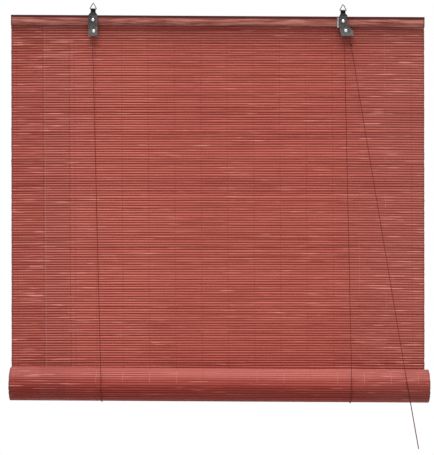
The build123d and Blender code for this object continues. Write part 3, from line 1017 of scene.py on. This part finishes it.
    def slats(self) -> Shape:
        """All slats: a superellipse section carried along x between its two wandering joints.

        A point of the section is the slat's centre plus its tangent times half the height times the signed
        power of a cosine, plus its normal times half the thickness times the signed power of a sine.

        Returns:
            The closed slats with their tone, their joints' darkening with its painted shade and highlight,
            and their ends' darkening.
        """
        random = np.random.default_rng(self.seed)
        count = len(self.centres)
        each = (count, 1, 1)
        x = self.stations()
        wander, opening = self.joints(random, x)
        start = -self.pitch / 2 + wander[:-1] + opening[:-1] / 2
        stop = self.pitch / 2 + wander[1:] - opening[1:] / 2
        half_angles = np.radians(self.corner_angles)
        turn = np.concatenate([half_angles, half_angles + np.pi])
        power = random.uniform(*self.round_power, each)
        across = np.sign(np.cos(turn)) * np.abs(np.cos(turn)) ** power
        across /= np.abs(across).max(axis=2, keepdims=True)
        out = np.sign(np.sin(turn)) * np.abs(np.sin(turn)) ** power
        tilt = random.normal(0.0, self.tilt_spread, each)
        twist = random.normal(0.0, self.tilt_spread, each)
        phase = random.uniform(0.0, FULL_TURN, each)
        lean = tilt + twist * np.sin(FULL_TURN * self.twist_waves * x[None, :, None] + phase)
        bay_shape = (count, self.warp_lines - 1)
        lean += self.bays(random.normal(0.0, self.bay_tilt_spread, bay_shape), x)[..., None]
        proud = np.clip(random.normal(0.0, self.proud_spread, each), -self.proud_most, self.proud_most)
        height = (stop - start)[:, :, None] / 2 * across
        normal = self.thickness / 2 * self.fullness * out + lean * height + proud
        along = (start + stop)[:, :, None] / 2 + height
        shift = self.drift * np.linspace(0.0, 1.0, count) + random.normal(0.0, self.end_spread, count)
        tone = random.normal(self.tone_middle, self.tone_spread, (count, 1))
        tone = tone + self.bays(random.normal(0.0, self.bay_tone_spread, bay_shape), x)
        length = np.broadcast_to(x[None, :, None] + shift[:, None, None], along.shape)
        plane = (
            self.centres[:, None, None]
            + along[..., None] * self.tangents[:, None, None]
            + normal[..., None] * self.normals[:, None, None]
        )
        points = np.concatenate([length[..., None], plane], axis=-1)
        inset = self.width / 2 - np.abs(x - self.middle_x)
        end = np.clip(2.0 - 2.0 * inset / self.end_band, 0.0, 1.0)
        # The joint layer is a real darker joint plus painted shade on the half towards the next slat; a
        # negative upper share paints a highlight on the upper half.
        upper = np.clip(-across, 0.0, 1.0) ** self.upper_edge_power
        marks = {
            "tone": np.clip(tone, 0.0, 1.0)[..., None],
            "joint": np.clip(across, 0.0, 1.0) + self.upper_soak_and_highlight * upper,
            "end": end[None, :, None],
        }
        layers = {name: np.broadcast_to(mark, along.shape) for name, mark in marks.items()}
        return Shape(points.reshape(-1, 3), ring_faces(count, len(x), len(turn)), layers)

    def threads(self, count: int) -> Shape:
        """The warp: on each line two threads that pass over and under the slats in turn.

        A thread's distance from the mat's middle is a flattened cosine of the slat number, and its partner
        runs half a period later beside it.

        Args:
            count: How many slats it twines, from the first.

        Returns:
            The closed threads with each line's paleness.
        """
        random = np.random.default_rng(self.seed + 1)
        steps = np.array(self.thread_steps)
        reach = self.thickness / 2 + self.thread_radius * self.thread_lift
        level = np.array(self.thread_levels) * reach
        sign = np.where(np.arange(count) % 2 == 0, 1.0, -1.0)
        along = np.tile(steps * self.pitch, count)
        out = (sign[:, None] * level).ravel()
        slat = np.repeat(np.arange(count), len(steps))
        centre, tangent, normal = (rows[slat] for rows in (self.centres, self.tangents, self.normals))
        x = self.thread_x()
        turn = circle(self.thread_sides) + np.pi / self.thread_sides
        side = np.array([-0.5, 0.5])
        wave = random.normal(0.0, self.thread_wander, (len(x), 1, count)).repeat(len(steps), axis=2)
        drift = (self.drift + self.warp_drift) * slat / len(self.centres)
        middle = x[:, None, None] + side[None, :, None] * self.thread_spacing + wave + drift
        ring_x = middle[..., None] + self.thread_radius * np.cos(turn)
        ring_out = (side[:, None] * 2.0 * out)[None, :, :, None] + self.thread_radius * np.sin(turn)
        ring_out = np.broadcast_to(ring_out, ring_x.shape)
        laid = along + self.lay(slat + 0.5, x[:, None])
        plane = (
            (centre + laid[..., None] * tangent)[:, None, :, None]
            + ring_out[..., None] * normal[None, None, :, None]
        )
        points = np.concatenate([ring_x[..., None], plane], axis=-1)
        pale = random.random((len(x), 1, 1, 1)) * self.thread_pale
        worn = dict(self.pale_lines)
        pale[list(worn), 0, 0, 0] = list(worn.values())
        first, last = self.pale_slats
        shown = np.clip(np.minimum(slat - first, last - slat), 0.0, 1.0)
        pale = np.broadcast_to(pale * shown[None, None, :, None], ring_x.shape)
        strips = len(x) * len(side)
        return Shape(points.reshape(-1, 3), ring_faces(strips, len(along), len(turn)), {"tone": pale})

    def fit(self, node: str) -> tuple[Vector, Vector]:
        """Take the strip's place and width from a node's box.

        Args:
            node: The CAD node that the slats stand for.

        Returns:
            The lowest and highest corner of the box.
        """
        low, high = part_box(node)
        self.middle_x = (low.x + high.x) / 2
        self.width = high.x - low.x
        return low, high

    def pieces(self, kind: str, finish: Finish, body: Body, node: str, twined: int) -> list[bpy.types.Object]:
        """Make the slats and their warp.

        Args:
            kind: What the names start with.
            finish: The slats' surface.
            body: The body that carries them.
            node: The CAD node that the slats stand for.
            twined: How many slats from the first have warp threads.

        Returns:
            The slats and the threads.
        """
        slats = self.slats().piece(f"{kind}_slats", finish, Slot.BAMBOO)
        threads = self.threads(twined).piece(f"{kind}_threads", THREAD, Slot.CORD, math.pi)
        return [rides(slats, body, node), rides(threads, body)]


@dataclass
class Mat(SlatStrip):
    """The hanging mat: slats from the rail's rebate down to the roll."""

    slat_count: int = 147
    seed: int = 11
    bay_steps: int = 3
    # Below 0: the upper edge of each slat takes a painted highlight.
    upper_soak_and_highlight: float = -0.8
    drift: float = 0.0058
    slope: float = 0.0049
    droop: float = 0.0011
    warp_drift: float = 0.0048
    side_lines: Lines = ((1, 0.0011), (1, 0.0048), (2, 0.0011), (2, 0.0127))
    pale_lines: Lines = ((13, 0.7), (14, 0.7), (17, 1.0))

    def build(self) -> None:
        """Lay the slats at an even pitch down the mat's box, and give the mat's pieces their own meshes."""
        low, high = self.fit("blind_mat")
        self.pitch = (high.z - low.z) / self.slat_count
        self.thickness = high.y - low.y
        z = high.z - self.pitch * (np.arange(self.slat_count) + 0.5)
        rows = np.ones((self.slat_count, 1))
        self.centres = np.stack([np.full_like(z, (low.y + high.y) / 2), z], axis=1)
        self.tangents = rows * np.array([0.0, -1.0])
        self.normals = rows * np.array([-1.0, 0.0])
        for piece in self.pieces("mat", BAMBOO, Body.HEAD, "blind_mat", self.slat_count):
            gathers(piece)


@dataclass
class Roll(SlatStrip):
    """The mat's foot, wound up from the rear tangent, under and up the front, to a straight tail.

    Attributes:
        axis: A point on the roll's axis.
        sweep: The angle through which the spiral winds.
        tail_turn: How far the tail turns in from the spiral's end.
        twined_slats: How many slats from the first have warp threads.
    """

    axis: Point = field(kw_only=True)
    seed: int = 29
    tone_middle: float = 0.1
    layer_gap: float = 0.0003
    sweep: float = math.radians(1142.0)
    tail_turn: float = math.radians(40.0)
    tail_slats: int = 5
    twined_slats: int = 50
    warp_first: float = 0.016
    # On the roll's upper front these threads are paler: partly worn dye, partly a painted highlight.
    pale_lines: Lines = tuple((line, PALE_LEVEL) for line in (3, 4, 5, 6, 9, 10, 12, 13, 14, 15))
    pale_slats: Pair = (20.5, 28.5)

    @staticmethod
    def heading(angle: np.ndarray) -> tuple[np.ndarray, np.ndarray]:
        """The unit rows of y and z that point out of the spiral and on along it, at an angle."""
        cosine, sine = np.cos(angle), np.sin(angle)
        return np.stack([cosine, -sine], axis=-1), np.stack([-sine, -cosine], axis=-1)

    def build(self, mat: Mat) -> None:
        """Lay the slats along a spiral that shrinks by one layer each turn, then along the straight tail.

        The angle of a place at arc length s solves R times angle minus half the shrink rate times the angle
        squared, equal to s.

        Args:
            mat: The hanging mat, whose slats go on in the roll.
        """
        self.pitch, self.thickness = mat.pitch, mat.thickness
        _, high = self.fit("mat_roll")
        radius = high.y - self.axis[1] - self.thickness / 2
        shrink = (self.thickness + self.layer_gap) / FULL_TURN
        length = radius * self.sweep - shrink / 2 * self.sweep**2
        arc = self.pitch * (np.arange(int(round(length / self.pitch))) + 0.5)
        angle = (radius - np.sqrt(radius**2 - 2.0 * shrink * arc)) / shrink
        out, on = self.heading(angle)
        wound = (radius - shrink * angle)[:, None] * out
        end_out, end_on = self.heading(np.array(self.sweep))
        bend = (radius - shrink * self.sweep) * end_out
        tail_on = end_on * math.cos(self.tail_turn) - end_out * math.sin(self.tail_turn)
        tail_out = end_out * math.cos(self.tail_turn) + end_on * math.sin(self.tail_turn)
        tail = bend + tail_on * self.pitch * (np.arange(self.tail_slats) + 0.5)[:, None]
        rows = np.ones((self.tail_slats, 1))
        self.centres = np.concatenate([wound, tail]) + np.array(self.axis[1:])
        self.tangents = np.concatenate([on, rows * tail_on])
        self.normals = np.concatenate([out, rows * tail_out])
        self.pieces("roll", ROLLED_BAMBOO, Body.ROLL, "mat_roll", self.twined_slats)


@dataclass
class LiftCords:
    """The straight front and rear runs of the two lift cords.

    Attributes:
        clear: How far below a housing a run starts, below a short stub that stays in it.
        nodes: Each run and the housing that it leaves, if it starts in one.
    """

    clear: float = 0.0015
    rings: int = 160
    stub_rings: int = 10
    nodes: tuple[tuple[str, Optional[str]], ...] = (
        ("left_front_cord", "left_housing"),
        ("right_front_cord", "lock_housing"),
        ("left_rear_cord", None),
        ("right_rear_cord", None),
    )

    def build(self) -> None:
        """Run a tube down each node's box, from its upper left rear to its lower right front."""
        for node, housing in self.nodes:
            low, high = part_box(node)
            top = np.array([low.x + CORD_RADIUS, high.y - CORD_RADIUS, high.z])
            foot = np.array([high.x - CORD_RADIUS, low.y + CORD_RADIUS, low.z])
            start = high.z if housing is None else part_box(housing)[0].z - self.clear
            held = (high.z - start) / (high.z - low.z)
            if housing is not None:
                stub = self.stretch(top, foot, np.linspace(0.0, held, self.stub_rings))
                rides(stub.piece(f"{node}_top", CORD, Slot.CORD), Body.HEAD)
            run = self.stretch(top, foot, np.linspace(held, 1.0, self.rings))
            piece = rides(run.piece(f"{node}_run", CORD, Slot.CORD), Body.HEAD, node)
            gathers(piece)

    @staticmethod
    def stretch(top: np.ndarray, foot: np.ndarray, share: np.ndarray) -> Shape:
        """The part of a run whose rings stand at shares of the way from the top to the foot."""
        return tube(top + (foot - top) * share[:, None])


@dataclass
class PullCord:
    """The pull cord: straight from the knot to the front of the roll, then down to its bare end.

    Attributes:
        split: Where the part that hangs on the roll begins.
        touch: Where the cord leaves the roll.
        end_radius: The loosened end's radius.
        flare: The cord is at the loosened radius after one part in so many of its fall.
        straight_diameters: How far the line is straight at its ends, in diameters.
    """

    knot_foot: Point = (0.322473, -0.0167, -0.065894)
    split: Point = (0.450525, -0.083563, -0.853909)
    touch: Point = (0.455, -0.0859, -0.88145)
    end: Point = (0.4814, -0.0859, -1.026)
    end_radius: float = 0.00115
    flare: float = 4.0
    straight_diameters: float = 6.0
    spline_order: int = 3
    spline_resolution: int = 24

    def spline(self, name: str, route: list[Vector]) -> np.ndarray:
        """A smooth line with the route's points as its control points.

        Args:
            name: The line's name.
            route: The points, in order.

        Returns:
            The points that the line runs through, as rows of x, y, z.
        """
        curve = bpy.data.curves.new(name, "CURVE")
        curve.dimensions = "3D"
        line = curve.splines.new("NURBS")
        line.points.add(len(route) - 1)
        line.points.foreach_set("co", [number for point in route for number in (*point, 1.0)])
        line.order_u = self.spline_order
        line.use_endpoint_u = True
        line.resolution_u = self.spline_resolution
        holder = bpy.data.objects.new(name, curve)
        mesh = bpy.data.meshes.new_from_object(holder)
        points = np.zeros(len(mesh.vertices) * 3, np.float32)
        mesh.vertices.foreach_get("co", points)
        bpy.data.objects.remove(holder)
        bpy.data.meshes.remove(mesh)
        return points.reshape(-1, 3).astype(float)

    def build(self) -> None:
        """Make the run from the knot to the roll, and the end that rises with the roll."""
        foot, split, touch, end = (Vector(p) for p in (self.knot_foot, self.split, self.touch, self.end))
        reach = self.straight_diameters * 2.0 * CORD_RADIUS
        down = (split - foot).normalized()
        path = self.spline("pull_run_line", [foot, foot + down * reach, split - down * reach, split])
        run = rides(tube(path).piece("pull_cord_run", CORD, Slot.CORD), Body.HEAD, "pull_cord")
        gathers(run)
        fall = (end - touch).normalized()
        route = [split, touch, touch + fall * (touch - split).length, end - fall * reach, end]
        path = self.spline("pull_end_line", route)
        loose = np.clip((touch.z - path[:, 2]) / (touch.z - end.z), 0.0, 1.0)
        radius = CORD_RADIUS + (self.end_radius - CORD_RADIUS) * np.minimum(loose * self.flare, 1.0)
        piece = tube(path, radius).piece("pull_cord_end", LOOSE_CORD, Slot.CORD)
        tail = rides(piece, Body.SLINGS, "pull_cord_tail")


@dataclass
class JoiningKnot:
    """The knot that joins both lift cords to the pull cord: turns of cord round a core."""

    top: Point = (0.3212, -0.0167, -0.05805)
    foot: Point = (0.32247, -0.0167, -0.06589)
    turns: float = 4.0
    waist: float = 0.0014
    bulge: float = 0.0007
    core_radius: float = 0.0013
    rings: int = 121
    core_stride: int = 12

    def build(self) -> None:
        """A helix round a short core, its radius being the waist plus the bulge times half a sine wave."""
        top, foot = np.array(self.top), np.array(self.foot)
        axis = (foot - top) / np.linalg.norm(foot - top)
        side = np.array([0.0, 1.0, 0.0])
        ahead = np.cross(axis, side)
        share = np.linspace(0.0, 1.0, self.rings)[:, None]
        angle = FULL_TURN * self.turns * share
        radius = self.waist + self.bulge * np.sin(np.pi * share)
        inset = CORD_RADIUS * axis
        middle = top + inset + (foot - top - 2.0 * inset) * share
        path = middle + radius * (np.cos(angle) * side + np.sin(angle) * ahead)
        coil = tube(path, across=tuple(axis))
        core = tube(top + (foot - top) * share[:: self.core_stride], self.core_radius, tuple(side))
        rides(coil.joined(core).piece("joining_knot", CORD, Slot.CORD), Body.HEAD, "cord_knot")


@dataclass
class Fastener:
    """A round-headed screw or rivet along Y, turned from the box of its node."""

    node: str
    name: str
    recess: Recess
    head_height: float = 0.0015
    shank_radius: float = 0.0015
    rim_share: float = 0.3
    tip_share: float = 0.02
    sharp_angle: float = 0.7
    recess_depth: float = 0.0006
    recess_reach: float = 0.0016
    recess_half_width: float = 0.0003
    recess_soft: float = 0.00012
    segments: int = 64
    dome_rings: int = 22

    def build(self) -> None:
        """Turn the dome, the rim and the shank, with the recess sunk into the dome.

        The dome's height above its rim falls as one minus the squared share of the radius. A cross recess
        is the larger of two soft-edged bars at right angles.
        """
        low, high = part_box(self.node)
        radius = (high.x - low.x) / 2
        share = np.linspace(self.tip_share, 1.0, self.dome_rings)
        rise = self.head_height * (1.0 - self.rim_share)
        dome = np.stack([radius * share, low.y + rise * share**2], axis=1)
        seat = low.y + self.head_height
        rest = [(radius, seat), (self.shank_radius, seat), (self.shank_radius, high.y)]
        profile = np.concatenate([dome, np.array(rest)])
        turn = circle(self.segments)
        x = profile[:, :1] * np.cos(turn)
        z = profile[:, :1] * np.sin(turn)
        y = np.broadcast_to(profile[:, 1:], x.shape).copy()
        if self.recess is Recess.CROSS:
            sunk = np.maximum(self._bar(x, z), self._bar(z, x))
            sunk[self.dome_rings :] = 0.0
            y += self.recess_depth * sunk
        centre = (low + high) / 2
        points = np.stack([centre.x + x, y, centre.z + z], axis=-1)
        shape = Shape(points.reshape(-1, 3), ring_faces(1, len(profile), self.segments))
        piece = shape.piece(self.name, BRIGHT_STEEL, Slot.BRIGHT_STEEL, self.sharp_angle)
        rides(piece, Body.HEAD, self.node)

    def _bar(self, across: np.ndarray, along: np.ndarray) -> np.ndarray:
        """How deep each point lies in one bar of the recess, with soft edges.

        Args:
            across: The points' places across the bar.
            along: The points' places along it.

        Returns:
            The depth from 0 to 1.
        """
        wide = (self.recess_half_width - np.abs(across)) / self.recess_soft
        long = (self.recess_reach - np.abs(along)) / self.recess_soft
        return np.clip(np.minimum(wide, long) / 2 + 0.5, 0.0, 1.0)


@dataclass
class CarriedNodes:
    """CAD nodes whose shape is right, by the finish that they take."""

    finishes: tuple[tuple[Finish, tuple[str, ...]], ...] = (
        (RAIL_WOOD, ("head_rail", "bottom_batten")),
        (BRIGHT_STEEL, ("rail_staples", "cord_staples")),
        (SHEET_STEEL, ("left_housing", "left_spacer", "lock_spacer", "lock_guide_pin")),
        (FLANGED_STEEL, ("lock_housing",)),
        (RING_STEEL, ("left_ring", "right_ring")),
        (BRASS, ("left_pulley", "lock_pulley", "lock_roller")),
        (CORD, ("left_sling", "right_sling", "cross_cord", "lock_cord")),
    )

    def dress(self, nodes: dict[str, bpy.types.Object]) -> None:
        """Give each node its finish.

        Args:
            nodes: The frame's nodes by name.
        """
        for finish, names in self.finishes:
            for name in names:
                slots = nodes[name].material_slots
                if not slots:
                    nodes[name].data.materials.append(finish.material())
                for holder in slots:
                    holder.material = finish.material()
                log.info("%s keeps its shape in %s", name, finish.name)


@dataclass
class Studio:
    """Soft light from above and in front, a pale floor below and a white background."""

    floor_z: float = -1.5
    floor_half: float = 2.4
    floor_cells: int = 12
    ambient: float = 0.58
    key_strength: float = 3.0
    key_spread: float = math.radians(45.0)
    key_way: Point = (0.08, 0.36, -0.93)

    def build(self) -> None:
        """Make the world, the key light and the floor."""
        self.world()
        self.key()
        self.floor()

    def world(self) -> None:
        """White where it is seen, and dimmer as light on the object."""
        world = bpy.data.worlds.new("studio")
        world.use_nodes = True
        bpy.context.scene.world = world
        nodes = Nodes(world.node_tree)
        light, shown = (
            nodes.add("ShaderNodeBackground", {}, {"Color": WHITE, "Strength": strength})
            for strength in (self.ambient, 1.0)
        )
        surface = nodes.add("ShaderNodeMixShader", {}, {0: nodes.shown(), 1: light, 2: shown})
        nodes.add("ShaderNodeOutputWorld", {}, {"Surface": surface})

    def key(self) -> None:
        """A broad soft light from high above and a little in front, even over the whole blind."""
        data = bpy.data.lights.new("key", "SUN")
        data.energy = self.key_strength
        data.angle = self.key_spread
        lamp = linked("key", data)
        lamp.rotation_euler = Vector(self.key_way).to_track_quat("-Z", "Y").to_euler()

    def floor(self) -> None:
        """A level grid under the hanging blind."""
        ticks = np.linspace(-self.floor_half, self.floor_half, self.floor_cells + 1)
        x, y = np.meshgrid(ticks, ticks, indexing="ij")
        points = np.stack([x, y, np.full_like(x, self.floor_z)], axis=-1).reshape(-1, 3)
        number = np.arange(x.size).reshape(x.shape)
        quads = [number[:-1, :-1], number[1:, :-1], number[1:, 1:], number[:-1, 1:]]
        mesh = bpy.data.meshes.new("floor")
        mesh.from_pydata(points.tolist(), [], np.stack(quads, axis=-1).reshape(-1, 4).tolist())
        mesh.materials.append(FLOOR.material())
        linked("floor", mesh)


@dataclass
class FrontCamera:
    """The photograph's view: level and square to the blind, from a few steps back."""

    place: Point = (0.0011, -3.604, -0.505)
    lens: float = 117.58
    sensor: float = 36.0
    roll: float = math.radians(0.33)
    nearest: float = 0.01
    farthest: float = 100.0

    def build(self) -> None:
        """Make the camera and set it as the scene's."""
        data = bpy.data.cameras.new("front_camera")
        data.lens = self.lens
        data.sensor_width = self.sensor
        data.clip_start = self.nearest
        data.clip_end = self.farthest
        camera = linked("front_camera", data)
        level = Matrix.Rotation(math.pi / 2, 4, "X")
        camera.matrix_world = Matrix.Translation(self.place) @ level @ Matrix.Rotation(self.roll, 4, "Z")
        bpy.context.scene.camera = camera


def main() -> None:
    """Load the frame and dress it, sub-assembly by sub-assembly."""
    logging.basicConfig(level=logging.INFO, format="%(name)s: %(message)s")
    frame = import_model()
    bpy.context.scene.view_settings.view_transform = "Standard"
    FrontCamera().build()
    LiftCords().build()
    PullCord().build()
    JoiningKnot().build()
    mat = Mat()
    mat.build()
    axis = next(joint["pos_m"] for joint in frame["joints"] if joint["name"] == "roll_turn")
    Roll(axis=tuple(axis)).build(mat)
    for side in ("left", "lock"):
        Fastener(f"{side}_screw", f"{side}_fixing_screw", Recess.CROSS).build()
        Fastener(f"{side}_pulley_rivet", f"{side}_axle_rivet", Recess.NONE).build()
    CarriedNodes().dress(frame["nodes"])
    Studio().build()


if __name__ == "__main__":
    main()
